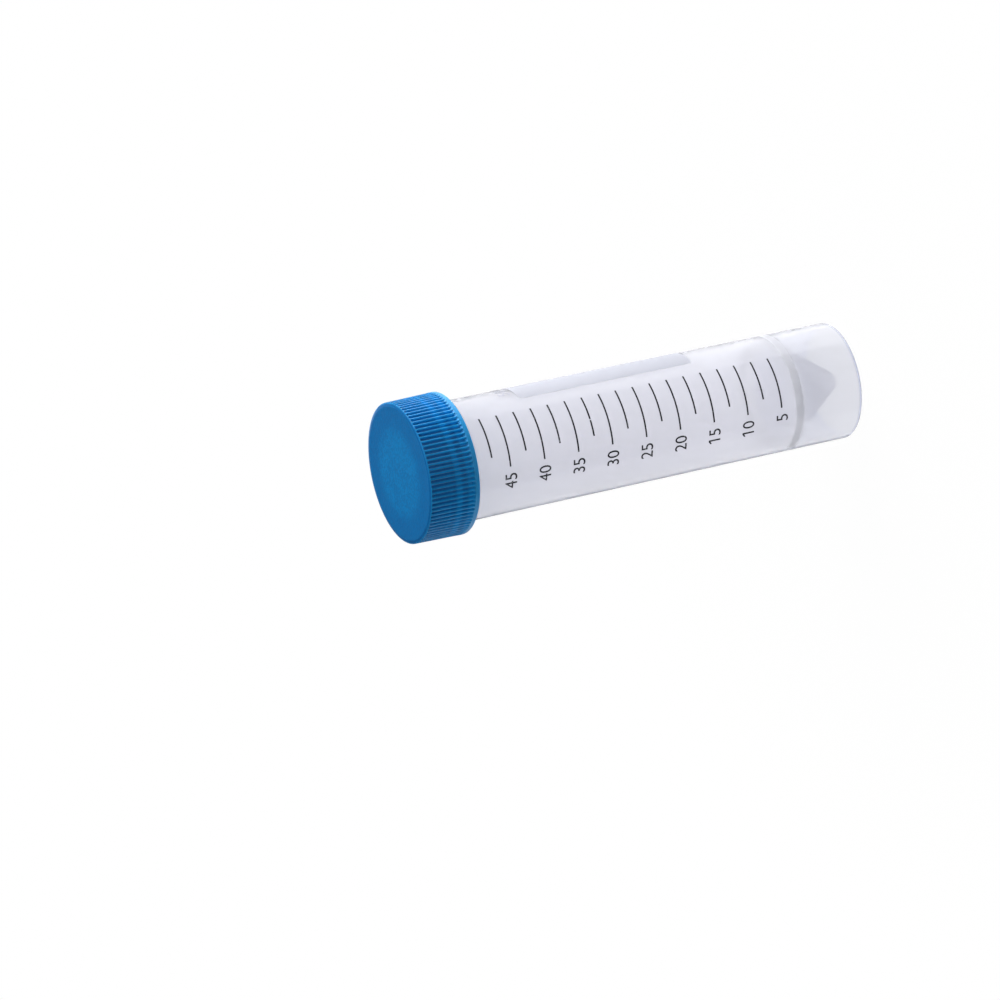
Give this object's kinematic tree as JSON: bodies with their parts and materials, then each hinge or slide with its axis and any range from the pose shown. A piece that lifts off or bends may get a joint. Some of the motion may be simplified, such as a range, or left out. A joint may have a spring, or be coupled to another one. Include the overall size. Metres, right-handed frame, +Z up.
{
  "type": "self-standing 50 ml conical tube",
  "caption": "Skirted conical lab tube of translucent plastic with printed graduations, a write-on panel and a ribbed blue screw cap.",
  "frame": {"origin": "centre of the ring that the skirt stands on", "axes": "+Z up the tube's axis to the cap, -Y through the middle of the printed graduations, +X towards the write-on panel's side"},
  "size_m": [0.034, 0.0338, 0.116],
  "materials": {
    "tube": "translucent natural polypropylene, glossy",
    "cap": "moulded blue polyethylene, satin"
  },
  "bodies": {
    "tube": {"tube": "tube"},
    "cap": {"cap": "cap"}
  },
  "joints": [
    {"name": "cap_lift", "type": "slide", "parent": "tube", "child": "cap", "axis": [0, 0, 1], "range_m": [0, 0.02]}
  ]
}
